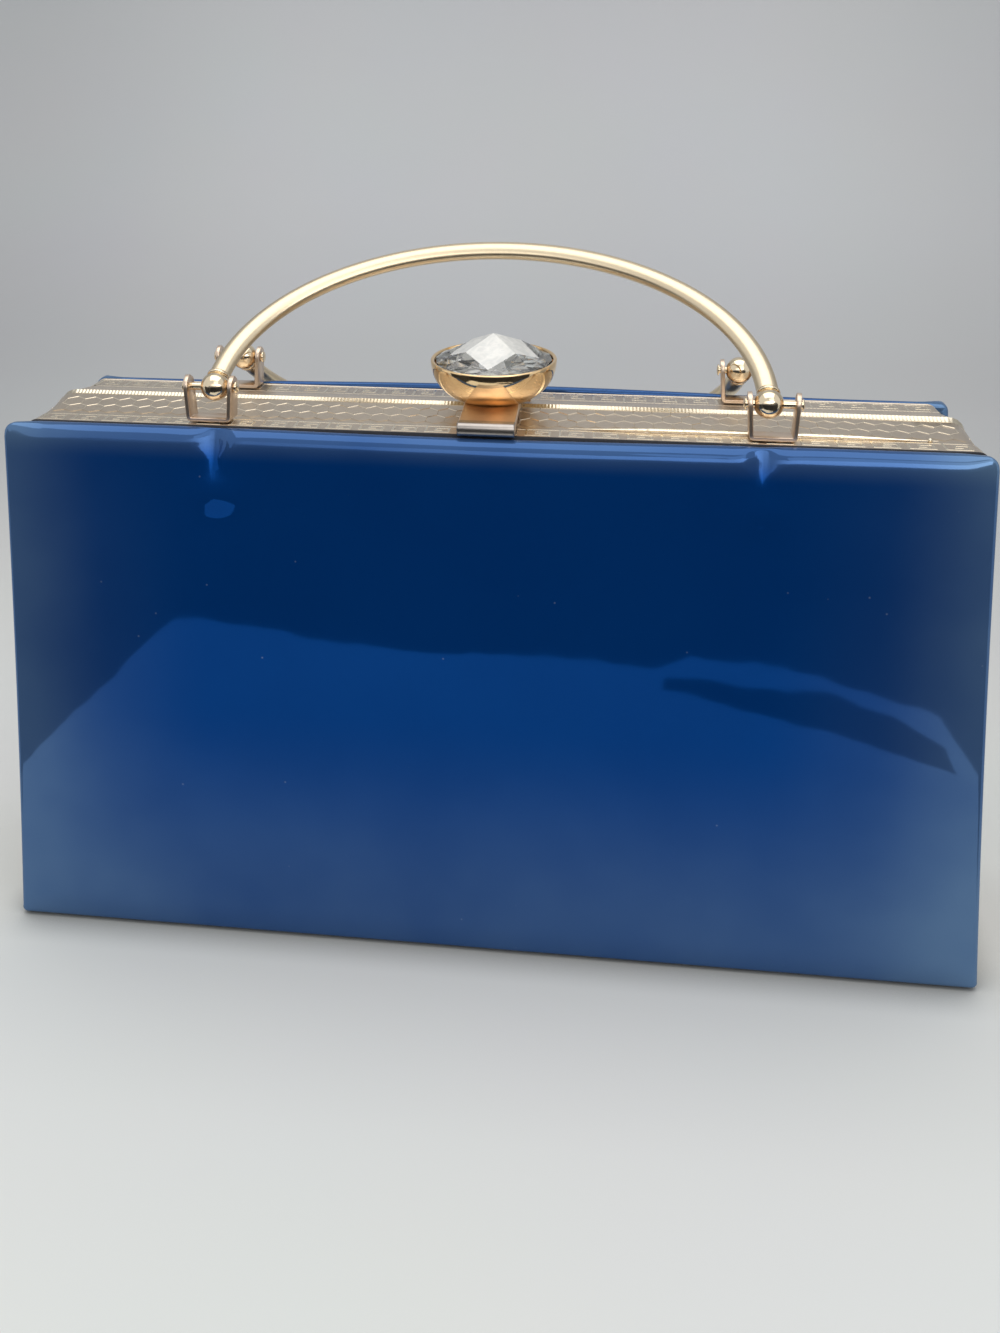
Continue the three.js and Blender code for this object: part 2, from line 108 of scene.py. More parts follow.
def addBump(tree, shader, height, strength, distance):
    relief = addNode(tree, "ShaderNodeBump", Strength=strength, Distance=distance)
    feed(tree, relief, "Height", height)
    link(tree, relief, "Normal", shader, "Normal")


def addAxes(tree):
    coords = addNode(tree, "ShaderNodeTexCoord")
    axes = addNode(tree, "ShaderNodeSeparateXYZ")
    link(tree, coords, "Object", axes, 0)
    return coords, axes


def newMaterial(name):
    material = bpy.data.materials.new(name)
    material.use_nodes = True
    return material, material.node_tree, material.node_tree.nodes["Principled BSDF"]


def newGroup(name, inputs, outputs):
    group = bpy.data.node_groups.new(name, "ShaderNodeTree")
    for label, value in inputs.items():
        socket = group.interface.new_socket(label, in_out="INPUT", socket_type="NodeSocketFloat")
        socket.default_value = value
    for label, kind in outputs.items():
        group.interface.new_socket(label, in_out="OUTPUT", socket_type=kind)
    return group, group.nodes.new("NodeGroupInput"), group.nodes.new("NodeGroupOutput")


def useGroup(tree, group, **values):
    node = tree.nodes.new("ShaderNodeGroup")
    node.node_tree = group
    setInputs(node, **values)
    return node


# Fine wear of plated metal: cloudy roughness and small scratches
wearGroup, wearIn, wearOut = newGroup(
    "plateWear", {"Scale": 60, "Base": 0.2, "Spread": 0.1},
    {"Roughness": "NodeSocketFloat", "Height": "NodeSocketFloat"})
coords = addNode(wearGroup, "ShaderNodeTexCoord")
cloud = addNoise(wearGroup, coords, Detail=5, Roughness=0.6)
spread = mathNode(wearGroup, "MULTIPLY_ADD", (cloud, "Fac"), (wearIn, "Spread"), (wearIn, "Base"))
grain = addNoise(wearGroup, coords, Scale=900, Detail=2)
link(wearGroup, wearIn, "Scale", cloud, "Scale")
link(wearGroup, grain, "Fac", wearOut, "Height")
feed(wearGroup, wearOut, "Roughness", spread)

# Specks of dust, scattered thinly
dustGroup, dustIn, dustOut = newGroup(
    "dustSpecks", {"Scale": 260, "Amount": 0.35}, {"Mask": "NodeSocketFloat"})
coords = addNode(dustGroup, "ShaderNodeTexCoord")
cells = addNode(dustGroup, "ShaderNodeTexVoronoi", Randomness=1)
picked = addNode(dustGroup, "ShaderNodeSeparateColor")
few = mathNode(dustGroup, "LESS_THAN", (picked, 0), (dustIn, "Amount"))
dot = mapRange(dustGroup, (cells, "Distance"), (0.07, 0.02), kind="LINEAR")
link(dustGroup, coords, "Object", cells, "Vector")
link(dustGroup, dustIn, "Scale", cells, "Scale")
link(dustGroup, cells, "Color", picked, 0)
feed(dustGroup, dustOut, "Mask", mathNode(dustGroup, "MULTIPLY", few, dot))


def makeMetal(name, colour, shade, base, spread, scale, bump):
    material, tree, shader = newMaterial(name)
    wear = useGroup(tree, wearGroup, Scale=scale, Base=base, Spread=spread)
    setInputs(shader, Metallic=1)
    feed(tree, shader, "Base Color", mixColour(tree, (wear, "Height"), colour, shade))
    link(tree, wear, "Roughness", shader, "Roughness")
    addBump(tree, shader, (wear, "Height"), bump, 0.0002)
    return material


# Colour, shade, roughness, its spread, scale of the wear, bump
frameMetal = makeMetal("frameMetal", (0.68, 0.585, 0.475), (0.60, 0.51, 0.415), 0.27, 0.12, 90, 0.08)
# A lighter, glossier copy of the frame metal for the raised artwork: partly rubbed wear, partly a painted
# highlight on the raised lines
rubbedHighlightMetal = makeMetal("rubbedHighlightMetal", (0.84, 0.75, 0.59), (0.76, 0.67, 0.52), 0.14, 0.10, 90, 0.05)
strapMetal = makeMetal("strapMetal", (0.80, 0.65, 0.51), (0.71, 0.56, 0.44), 0.27, 0.10, 80, 0.04)
# The tongue's metal is a darkened grey copy: painted shade standing in for the dark it reflects
tongueMetal = makeMetal("tongueMetal", (0.44, 0.40, 0.37), (0.38, 0.35, 0.32), 0.26, 0.08, 70, 0.03)
tubeMetal = makeMetal("tubeMetal", (0.82, 0.69, 0.49), (0.75, 0.62, 0.43), 0.26, 0.08, 70, 0.03)
polishedMetal = makeMetal("polishedMetal", (0.88, 0.74, 0.53), (0.81, 0.66, 0.46), 0.06, 0.07, 70, 0.03)
warmMetal = makeMetal("warmMetal", (0.95, 0.70, 0.41), (0.88, 0.62, 0.34), 0.05, 0.06, 70, 0.03)
foilMetal = makeMetal("foilMetal", (0.90, 0.90, 0.88), (0.80, 0.80, 0.79), 0.08, 0.05, 200, 0.02)

patentLook = {
    "deep": (0.0008, 0.040, 0.195), "light": (0.0015, 0.050, 0.230), "metallic": 0.5, "specular": 0.06,
    "roughness": 0.045, "mottle": 22, "wave": 38, "waveBump": 0.05,
    # Painted sheen: its tint, and how much of it lies at the foot, the sides, the edges and the top
    "film": (0.265, 0.415, 0.535), "sheenFoot": 0.18, "sheenSide": 0.12, "sheenEdge": 0.23, "sheenTop": 0.17,
    "footSpan": (0.07, -0.01), "sideSpan": (0.07, 0.137), "edgeSpan": (0.098, 0.132),
    "topSpan": (0.1355, 0.1425), "sideHeights": (0.14, 0.01), "sideShares": (0.45, 1.35),
    "edgeHeights": (0.01, 0.1), "edgeShares": (0.3, 1.05),
    "cloudSpan": (0.3, 0.7), "cloudShares": (0.75, 1.25),
    "dustScale": 210, "dustAmount": 0.12, "dustShare": 0.3, "dustTint": (0.40, 0.48, 0.62),
}
patent, tree, shader = newMaterial("patent")
coords, axes = addAxes(tree)
mottle = addNoise(tree, coords, Scale=patentLook["mottle"], Detail=3)
tint = mixColour(tree, (mottle, "Fac"), patentLook["deep"], patentLook["light"])
# Painted sheen: a thin pale haze mixed into the colour in place of reflected light, thicker towards the
# foot, the sides and the top roll
height = (axes, "Z")
away = mathNode(tree, "ABSOLUTE", (axes, "X"))
sheenSide = mapRange(tree, away, patentLook["sideSpan"], (0, patentLook["sheenSide"]))
sheenEdge = mapRange(tree, away, patentLook["edgeSpan"], (0, patentLook["sheenEdge"]))
sheenFoot = mapRange(tree, height, patentLook["footSpan"], (0, patentLook["sheenFoot"]))
sheenTop = mapRange(tree, height, patentLook["topSpan"], (0, patentLook["sheenTop"]))
sideLow = mapRange(tree, height, patentLook["sideHeights"], patentLook["sideShares"], "LINEAR")
edgeHigh = mapRange(tree, height, patentLook["edgeHeights"], patentLook["edgeShares"], "LINEAR")
edgeSheen = mathNode(tree, "MULTIPLY", sheenEdge, edgeHigh)
sideSheen = mathNode(tree, "MULTIPLY_ADD", sheenSide, sideLow, edgeSheen)
lowSheen = mathNode(tree, "ADD", sideSheen, sheenFoot)
allSheen = mathNode(tree, "ADD", lowSheen, sheenTop)
cloudy = mapRange(tree, (mottle, "Fac"), patentLook["cloudSpan"], patentLook["cloudShares"], "LINEAR")
sheenShare = mathNode(tree, "MULTIPLY", allSheen, cloudy)
sheened = mixColour(tree, sheenShare, tint, patentLook["film"])
dust = useGroup(tree, dustGroup, Scale=patentLook["dustScale"], Amount=patentLook["dustAmount"])
faint = mathNode(tree, "MULTIPLY", (dust, "Mask"), patentLook["dustShare"])
wave = addNoise(tree, coords, Scale=patentLook["wave"], Detail=2)
setInputs(shader, Metallic=patentLook["metallic"], Roughness=patentLook["roughness"],
          Specular_IOR_Level=patentLook["specular"])
feed(tree, shader, "Base Color", mixColour(tree, faint, sheened, patentLook["dustTint"]))
addBump(tree, shader, (wave, "Fac"), patentLook["waveBump"], 0.002)

liningLook = {"dark": (0.012, 0.012, 0.016), "light": (0.035, 0.035, 0.042), "nap": 1400, "rough": 0.85}
lining, tree, shader = newMaterial("lining")
nap = addNoise(tree, addNode(tree, "ShaderNodeTexCoord"), Scale=liningLook["nap"], Detail=3)
setInputs(shader, Roughness=liningLook["rough"])
feed(tree, shader, "Base Color", mixColour(tree, (nap, "Fac"), liningLook["dark"], liningLook["light"]))
addBump(tree, shader, (nap, "Fac"), 0.3, 0.0003)

glassLook = {"ior": 1.8, "smear": 120, "film": (0.0, 0.04), "streak": 320, "band": (0.4, 0.65)}


def makeGlass(name, colour, shade, clear):
    material, tree, shader = newMaterial(name)
    coords = addNode(tree, "ShaderNodeTexCoord")
    smear = addNoise(tree, coords, Scale=glassLook["smear"], Detail=3)
    streak = addNoise(tree, coords, Scale=glassLook["streak"], Detail=4, Distortion=1.5)
    film = mapRange(tree, (smear, "Fac"), (0, 1), glassLook["film"], "LINEAR")
    band = mapRange(tree, (streak, "Fac"), glassLook["band"], kind="LINEAR")
    setInputs(shader, Transmission_Weight=clear, IOR=glassLook["ior"])
    feed(tree, shader, "Base Color", mixColour(tree, band, colour, shade))
    feed(tree, shader, "Roughness", film)
    return material


glass = makeGlass("glass", (0.98, 0.99, 0.99), (0.90, 0.94, 0.93), 1)
# Painted reflection: the large kites take a milky, brighter copy of the glass, standing in for the light
# above that they throw back
brightGlass = makeGlass("brightGlass", (0.95, 0.93, 0.885), (0.80, 0.80, 0.77), 0.32)
print("materials made")


# Modelling helpers
def placeGrid(bm, columns, rows, place, uvScale=0.001, material=0):
    made = bmesh.ops.create_grid(bm, x_segments=columns, y_segments=rows, size=1)["verts"]
    layer = bm.loops.layers.uv.verify()
    where = {}
    for v in made:
        i = round((v.co.x + 1) / 2 * columns)
        j = round((v.co.y + 1) / 2 * rows)
        point, uv = place(i, j)
        v.co = point
        where[v] = uv
    for face in {f for v in made for f in v.link_faces}:
        face.material_index = material
        for loop in face.loops:
            loop[layer].uv = Vector(where[loop.vert]) * uvScale
    return made


def revolve(bm, profile, steps, matrix):
    def place(i, j):
        radius, height = profile[j]
        angle = 2 * pi * i / steps
        return Vector((radius * cos(angle), radius * sin(angle), height)), (angle * radius, height)
    made = placeGrid(bm, steps, len(profile) - 1, place)
    bmesh.ops.transform(bm, matrix=matrix, verts=made)
    return made


def finishPiece(name, bm, materials, body, replaced, sharp=40):
    bmesh.ops.remove_doubles(bm, verts=bm.verts, dist=1e-4)
    bmesh.ops.dissolve_degenerate(bm, edges=bm.edges, dist=1e-5)
    bmesh.ops.recalc_face_normals(bm, faces=bm.faces)
    bmesh.ops.transform(bm, matrix=toRow, verts=bm.verts)
    mesh = bpy.data.meshes.new(name)
    bm.to_mesh(mesh)
    bm.free()
    for material in materials:
        mesh.materials.append(material)
    mesh.shade_smooth()
    mesh.set_sharp_from_angle(angle=radians(sharp))
    piece = bpy.data.objects.new(name, mesh)
    scene.collection.objects.link(piece)
    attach(piece, body)
    if replaced:
        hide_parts(*replaced)
    return piece


def smoothStep(low, high, value):
    t = min(1, max(0, (value - low) / (high - low)))
    return t * t * (3 - 2 * t)


caseShape = {"topWidth": 247, "flare": 7.5, "height": 144, "lift": 0.6}


def sideX(z):
    share = (caseShape["height"] - z) / (caseShape["height"] - caseShape["lift"])
    return caseShape["topWidth"] / 2 + caseShape["flare"] * share


# Padded panels: a wide roll along the top, tight edges elsewhere
panelLook = {
    "topRoll": 5.0, "topCrest": 26.8, "edgeRoll": 1.3, "edgeCrest": 29.4, "face": 30.8, "back": 25.6,
    "topCorner": 2.8, "bottomCorner": 1.8, "crown": 0.9, "sideBow": 0.6, "uneven": 0.13, "fill": 0.85,
    "seatInset": 4.4, "boardInset": 6.5, "boardDepth": 28.2, "topBlend": 9, "backRoll": 1.3,
    # Finest and widest steps of the grid
    "stepsX": (0.32, 2.6), "stepsZ": (0.55, 2.6),
    # Each pucker's place, length and the bulge below it
    "puckers": [(-67.9, 11.6, 1.6), (68.6, 9.8, 0.9)], "puckerNotch": 0.2, "notchWidth": 3,
    "archFade": 15, "puckerWidth": (0.85, 2.4),
    "puckerSlope": 0.37, "puckerSoft": 1.2, "puckerFlare": (4, 4.2), "puckerFade": 9, "pillow": 0.3,
    "pillowAt": (6, 3), "fold": 0.05, "foldPitch": 1.3, "bulgeDrop": 16, "bulgeSize": (6.5, 4.2),
    "streak": 0.08,
}
topEdge = {
    "front": {"rise": -0.6, "reach": 85, "shift": 0, "seed": 2.3},
    "rear": {"rise": 1.2, "reach": 100, "shift": -5, "seed": 8.1},
}


def gradedLines(low, high, fineAt, fine, coarse, grow=0.16):
    lines = [low]
    while lines[-1] < high:
        near = min(abs(lines[-1] - f) for f in fineAt)
        lines.append(lines[-1] + min(coarse, fine + grow * near))
    scale = (high - low) / (lines[-1] - low)
    return [low + (x - low) * scale for x in lines]


def panelSpot(fx, fz, insets, bow):
    side, top, bottom = insets
    height, lift = caseShape["height"], caseShape["lift"]
    low, high = lift + bottom, height - top
    z = low + (high - low) * (fz + 1) / 2
    middle = (2 * z - height - lift) / (height - lift)
    half = sideX(z) - side - panelLook["sideBow"] * (1 - middle * middle)
    x = fx * half
    fade = exp(-(((height - z) / panelLook["archFade"]) ** 2))
    arch = max(0, 1 - (x / bow["reach"]) ** 2) ** 2
    offs = [x - bow["shift"] - px for px, length, bulge in panelLook["puckers"]]
    notch = sum(exp(-((off / panelLook["notchWidth"]) ** 2)) for off in offs)
    return x, z + fade * (bow["rise"] * arch - panelLook["puckerNotch"] * notch)


def ringSpot(fx, fz, insets, share, bow):
    x, z = panelSpot(fx, fz, insets, bow)
    radius = share * (panelLook["topCorner"] if fz > 0 else panelLook["bottomCorner"])
    sx, sz = (1 if fx > 0 else -1), (1 if fz > 0 else -1)
    cornerX, cornerZ = panelSpot(sx, sz, insets, bow)
    level = abs(fz) > 0.9999
    away = abs(cornerX - x) if level else abs(cornerZ - z)
    if away < radius:
        turn = pi / 4 * (1 - away / radius)
        a, b = (sin(turn), cos(turn)) if level else (cos(turn), sin(turn))
        return cornerX - sx * radius * (1 - a), cornerZ - sz * radius * (1 - b)
    return x, z


def panelDents(x, z, seed, bow, recess=0, soft=1):
    look = panelLook
    dent = pucker = 0
    drop = max(0, caseShape["height"] - z)
    fade = exp(-drop / look["puckerFade"])
    narrow, flare = look["puckerWidth"]
    flareDrop, flareFade = look["puckerFlare"]
    pillowX, pillowWide = look["pillowAt"]
    wide, tall = look["bulgeSize"]
    for px, length, bulge in look["puckers"]:
        off = x - bow["shift"] - px
        left = max(0, length - drop)
        ramp = max(0, look["puckerSlope"] * left * left / (left + look["puckerSoft"]) - recess)
        width = narrow + flare * exp(-max(0, drop - flareDrop) / flareFade)
        fold = exp(-((off / width) ** 2))
        pucker += ramp * fold
        dent -= look["pillow"] * exp(-(((abs(off) - pillowX) / pillowWide) ** 2)) * fade
        dent += look["fold"] * cos(2 * pi * off / look["foldPitch"] + px) * fold * fade
        dent -= bulge * exp(-(((off - 0.8) / wide) ** 2) - ((drop - look["bulgeDrop"]) / tall) ** 2)
    wave = noise.noise(Vector((x / 45, z / 40, seed)))
    wave += 0.4 * noise.noise(Vector((x / 17, z / 15, seed + 7)))
    return pucker + soft * (dent + look["uneven"] * wave)


def rollRow(turn, topShare):
    # Insets from side, top and bottom, and the depth, part of the way round the edge
    look = panelLook
    if turn <= pi / 2:
        left = 1 - sin(turn)
        insets = (look["edgeRoll"] * left, look["topRoll"] * left, look["edgeRoll"] * left)
        top = look["topCrest"] + (look["face"] - look["topCrest"]) * cos(turn)
        edge = look["edgeCrest"] + (look["face"] - look["edgeCrest"]) * cos(turn)
    else:
        left = look["backRoll"] * (1 - sin(turn))
        insets = (left, left, left)
        top = look["back"] + (look["topCrest"] - look["back"]) * (1 + cos(turn))
        edge = look["back"] + (look["edgeCrest"] - look["back"]) * (1 + cos(turn))
    return insets, edge + (top - edge) * topShare


def makePanel(name, side, bow, body):
    bm = bmesh.new()
    look, seed = panelLook, bow["seed"]
    insets = (look["edgeRoll"], look["topRoll"], look["edgeRoll"])
    half = sideX(caseShape["height"]) - look["edgeRoll"]
    folds = [-half, half] + [bow["shift"] + px for px, length, bulge in look["puckers"]]
    xs = [x / half for x in gradedLines(-half, half, folds, *look["stepsX"])]
    low, high = caseShape["lift"] + look["edgeRoll"], caseShape["height"] - look["topRoll"]
    levels = gradedLines(low, high, (low, high), *look["stepsZ"])
    zs = [2 * (z - low) / (high - low) - 1 for z in levels]
    fractions = {}

    def faceAt(i, j):
        x, z = panelSpot(xs[i], zs[j], insets, bow)
        swell = look["crown"] * (1 - abs(xs[i]) ** 3) * (1 - abs(zs[j]) ** 3)
        depth = look["face"] + swell - panelDents(x, z, seed, bow)
        return Vector((x, side * depth, z)), (xs[i], zs[j])

    placeGrid(bm, len(xs) - 1, len(zs) - 1, faceAt, 1)
    layer = bm.loops.layers.uv.verify()
    rim = [e for e in bm.edges if e.is_boundary]
    for v in {v for e in rim for v in e.verts}:
        fx, fz = v.link_loops[0][layer].uv
        fractions[v] = (fx, fz)
    turns = [pi / 2 * k / 10 for k in range(1, 11)] + [pi / 2 * (1 + k / 4) for k in range(1, 5)]
    for turn in turns + ["seat", "board"]:
        grown = bmesh.ops.extrude_edge_only(bm, edges=rim)["geom"]
        fresh = {g for g in grown if isinstance(g, bmesh.types.BMVert)}
        rim = [e for e in bm.edges if e.is_boundary and e.verts[0] in fresh]
        moved = {}
        for v, (fx, fz) in fractions.items():
            new = next(e.other_vert(v) for e in v.link_edges if e.other_vert(v) in fresh)
            moved[new] = (fx, fz)
            if turn == "seat":
                x, z = panelSpot(fx, fz, [look["seatInset"]] * 3, bow)
                new.co = Vector((x, side * look["back"], z))
                continue
            if turn == "board":
                x, z = panelSpot(fx, fz, [look["boardInset"]] * 3, bow)
                new.co = Vector((x, side * look["boardDepth"], z))
                continue
            topShare = smoothStep(0, look["topBlend"], (1 - abs(fx)) * half) if fz > 0.9999 else 0
            rowInsets, depth = rollRow(turn, topShare)
            x, z = ringSpot(fx, fz, rowInsets, min(1, sin(turn)), bow)
            if turn < pi / 2:
                soft = cos(turn)
                streak = noise.noise(Vector((x / 26, seed + 9 * turn, 4))) * sin(2 * turn)
                recess = look["face"] - depth
                depth += topShare * look["streak"] * streak - panelDents(x, z, seed, bow, recess, soft)
            new.co = Vector((x, side * depth, z))
        fractions = moved
    made = bmesh.ops.holes_fill(bm, edges=rim, sides=0)["faces"]
    for face in made:
        face.material_index = 1
    piece = finishPiece(name + "Pad", bm, [patent, lining], body, [name], 60)
    return piece


makePanel("front_panel", -1, topEdge["front"], "front_half")
makePanel("rear_panel", 1, topEdge["rear"], "rear_half")
print("panels made")

# Stamped frames: a section carried round the hoop, with raised artwork
hoopShape = {"top": 143.8, "sideInset": 2.5, "wall": 4, "flange": 3, "foot": 2.3, "skew": 0.055}
lean = atan2(caseShape["flare"], caseShape["height"] - caseShape["lift"])


def hoopParts(corner):
    centreZ = hoopShape["top"] - corner
    centreX = sideX(centreZ) - hoopShape["sideInset"] - corner
    arc = corner * (pi / 2 - lean)
    drop = (centreZ + corner * sin(lean) - hoopShape["foot"]) / cos(lean)
    return centreX, centreZ, arc, drop


def hoopAt(s, corner, rise):
    centreX, centreZ, arc, drop = hoopParts(corner)
    far = abs(s)
    angle = pi / 2
    x, z = far, hoopShape["top"]
    if far > centreX:
        angle = max(lean, pi / 2 - (far - centreX) / corner)
        down = max(0, far - centreX - arc)
        x = centreX + corner * cos(angle) + down * sin(lean)
        z = centreZ + corner * sin(angle) - down * cos(lean)
    return (1 if s >= 0 else -1) * (x + rise * cos(angle)), z + rise * sin(angle)


def hoopLength(t, corner):
    centreX, centreZ, arc, drop = hoopParts(corner)
    far = abs(t)
    s = centreX * min(1, far) + arc * min(1, max(0, far - 1)) + drop * max(0, far - 2)
    return s if t >= 0 else -s


def along(rises, depth):
    for (d0, r0), (d1, r1) in zip(rises, rises[1:]):
        if d1 <= depth <= d0:
            return r0 + (r1 - r0) * (d0 - depth) / (d0 - d1)
    return rises[0][1] if depth > rises[0][0] else rises[-1][1]


frontLook = {
    "keyUnit": 8.5, "keyWidth": 0.7, "keyHeight": 0.06, "keySpan": (17.6, 23.4),
    "combWidth": 4.9, "combPitch": 5.15, "combFirst": 12.3, "combRidge": 0.13, "combHeight": 0.09,
    "combSink": -0.05, "combSpan": (1.3, 15.6), "ridgeFade": (24, 26),
    "ridgeStart": 20, "ridgeEnd": 111, "ridgeRadius": 0.55, "ridgeDepth": 16.5, "ridgeStep": 0.45,
    "dropRadius": 0.6, "closed": 0.32, "closedEnd": (84, 112),
}
# Sections as rows of depth, rise and corner radius, from the panel round to the inside
frontSection = [
    (25.3, -0.3, 3), (25, 0.15, 3), (24.2, 0.15, 3), (24, 0, 3), (16.8, 0, 3), (16.6, 0.35, 4),
    (15.9, 0.55, 4), (8, 1.0, 4), (1.2, 1.4, 4), (0.4, 0.95, 4), (-3.4, 0.85, 4), (-3.4, -0.1, 4),
    (1.6, 0.1, 4), (16.9, -0.65, 4), (17.9, -1.2, 3), (23.9, -1.2, 3), (23.9, -7, 8), (25.3, -7, 8),
]
rearLook = {
    "keyUnit": 8.5, "keyWidth": 0.7, "keyHeight": 0.09, "keySpan": (15.9, 23.2), "millPitch": 0.95,
    "millHeight": 0.05, "millDepths": [23.8, 15.4, 9, 2.0], "toothPitch": 0.95, "toothHeight": 0.07,
    "toothSection": [(2.4, -0.02), (1.25, 0.1), (0.2, 0.1), (-0.75, 0.07)], "toothLift": [0, 0.8, 1, 0.2],
    "lipLow": 0.68, "lipEnd": (1.5, 5.5),
}
rearSection = [
    (25.3, -0.3, 3), (25, 0.15, 3), (24.2, 0.15, 3), (24, 0, 3), (15.4, 0, 3), (1.9, 1.92, 4),
    (1.25, 2.14, 4), (0.2, 1.58, 4), (-0.6, 1.16, 4), (-0.7, 1.1, 4), (-0.4, 1.08, 4), (3.9, 1.02, 4),
    (4.1, 0.6, 4), (9.8, -0.3, 4), (15, -1.2, 4), (23.9, -1.2, 4), (23.9, -7, 8), (25.3, -7, 8),
]
# Rise of the top face by depth
steppedTop = [(24, 0), (16.8, 0), (16.6, 0.35), (15.9, 0.55), (1.2, 1.4)]
plainTop = [(24, 0), (16.8, 0), (1.2, 1.4)]
rearTop = [(24, 0), (15.4, 0), (1.9, 1.92), (1.25, 2.14), (0.2, 1.58), (-0.6, 1.16)]


def ridgeShare(s):
    start, end = frontLook["ridgeStart"], frontLook["ridgeEnd"]
    rise, fall = frontLook["ridgeFade"]
    return smoothStep(start, start + rise, s) * (1 - smoothStep(end - fall, end, s))


def frontRise(s, depth):
    # The step is raised at the right only, and the rear edge meets the lip except towards the right end
    plain = along(plainTop, depth)
    closed = frontLook["closed"] * (1 - smoothStep(*frontLook["closedEnd"], s))
    closed *= 1 - smoothStep(1.2, 8, depth)
    return plain + (along(steppedTop, depth) - plain) * ridgeShare(s) + closed


def lipShare(s):
    # The lip stands up along the top and sinks where it turns down the sides
    start = hoopParts(hoopShape["wall"])[0]
    low = rearLook["lipLow"]
    first, last = rearLook["lipEnd"]
    return low + (1 - low) * (1 - smoothStep(start + first, start + last, abs(s)))


def frameSkin(bm, side, section):
    # Steps along the top, round the corner and down the side
    halfStops = [k / 48 for k in range(49)]
    halfStops += [1 + k / 12 for k in range(1, 13)] + [2 + k / 14 for k in range(1, 15)]
    stops = [-t for t in reversed(halfStops[1:])] + halfStops

    def place(i, j):
        depth, rise, corner = section[j % len(section)]
        s = hoopLength(stops[i], corner)
        if side < 0 and 4 < j < 9:
            rise = frontRise(s, depth)
        if side > 0 and depth < 15 and rise > 0:
            rise *= lipShare(s)
        x, z = hoopAt(s, corner, rise)
        return Vector((x, side * depth, z)), (s, j)

    placeGrid(bm, len(stops) - 1, len(section), place)
    bmesh.ops.remove_doubles(bm, verts=bm.verts, dist=1e-4)
    low = hoopShape["foot"] + 1.5
    feet = [e for e in bm.edges if e.is_boundary and max(v.co.z for v in e.verts) < low]
    bmesh.ops.holes_fill(bm, edges=feet, sides=0)
    # Painted shade: the outer edge and wall beside the panel take the dark lining, a dark line standing in
    # for the shadow in the seam
    for face in bm.faces:
        depths = [abs(v.co.y) for v in face.verts]
        if max(depths) > 25.2 and min(depths) > 24.9:
            face.material_index = 2


def ribbon(bm, side, path, width, height, riseAt, corner):
    # A raised line with sloping flanks along a path of (along, depth) points
    fine = []
    for (u0, d0), (u1, d1) in zip(path, path[1:]):
        steps = max(1, ceil(hypot(u1 - u0, d1 - d0) / 2.2))
        fine += [(u0 + (u1 - u0) * k / steps, d0 + (d1 - d0) * k / steps) for k in range(steps)]
    fine.append(path[-1])
    section = ((-0.5, -0.04), (-0.4, height), (0.4, height), (0.5, -0.04))
    offsets = [(share * width, lift) for share, lift in section]

    def place(i, j):
        here = Vector(fine[i])
        before = (here - Vector(fine[i - 1])).normalized() if i else None
        after = (Vector(fine[i + 1]) - here).normalized() if i + 1 < len(fine) else None
        a, b = before or after, after or before
        normal = Vector((-a.y - b.y, a.x + b.x)) / (1 + a.dot(b))
        shift, lift = offsets[j]
        u, depth = here + normal * shift
        x, z = hoopAt(u, corner, riseAt(u, depth) + lift)
        return Vector((x, side * depth, z)), (u, depth)

    placeGrid(bm, len(fine) - 1, 3, place, material=1)


def greekKey(bm, side, look, riseAt, corner, limit):
    # The key stands on a line along the inner edge
    low, high = look["keySpan"]
    tall = high - low
    unit, width, height = look["keyUnit"], look["keyWidth"], look["keyHeight"]
    count = int(limit // unit)
    hook = [(0.11, 0), (0.11, 0.94), (0.80, 0.94), (0.80, 0.34), (0.40, 0.34), (0.40, 0.66), (0.60, 0.66)]
    for k in range(-count, count):
        path = [((k + a) * unit, low + b * tall) for a, b in hook]
        ribbon(bm, side, path, width, height, riseAt, corner)
    steps = 2 * count * 4
    foot = [(-count * unit + k * unit / 4, low) for k in range(steps + 1)]
    ribbon(bm, side, foot, width, height * 0.9, riseAt, corner)


def honeycomb(bm, side, riseAt, corner, limit):
    # Six-sided cells with thin raised walls
    wide, pitch = frontLook["combWidth"], frontLook["combPitch"]
    tall = pitch * 4 / 3
    cells = []
    for row in range(3):
        depth = frontLook["combFirst"] - row * pitch
        for k in range(-int(limit / wide), int(limit / wide) + 1):
            spot = Matrix.Translation(((k + 0.5 * (row % 2)) * wide, depth, 0))
            turned = spot @ Matrix.Diagonal((wide / sqrt(3), tall / 2, 1, 1))
            cell = bmesh.ops.create_circle(bm, cap_ends=True, segments=6, radius=1, matrix=turned)
            cells += cell["verts"]
    bmesh.ops.remove_doubles(bm, verts=cells, dist=0.05)
    faces = list({f for v in bm.verts for f in v.link_faces})
    bmesh.ops.inset_individual(bm, faces=faces, thickness=frontLook["combRidge"], depth=0)
    inner = {v for f in faces for v in f.verts}
    near, far = frontLook["combSpan"]
    for v in bm.verts:
        u, depth = v.co.x, min(far, max(near, v.co.y))
        lift = frontLook["combSink" if v in inner else "combHeight"]
        x, z = hoopAt(u, corner, riseAt(u, depth) + lift)
        v.co = Vector((x, side * depth, z))
    bmesh.ops.delete(bm, geom=faces, context="FACES_ONLY")
    for face in bm.faces:
        face.material_index = 1


def rearRise(s, depth):
    return along(rearTop, depth) * (lipShare(s) if depth < 15 else 1)


def milledBand(bm, side, corner, limit):
    pitch = rearLook["millPitch"]
    count = 2 * int(limit / pitch)
    depths = rearLook["millDepths"]

    def place(i, j):
        s = (i - count) * pitch / 2
        x, z = hoopAt(s, corner, rearRise(s, depths[j]) + 0.02 + rearLook["millHeight"] * (i % 2))
        return Vector((x, side * depths[j], z)), (s, depths[j])

    placeGrid(bm, 2 * count, 3, place)


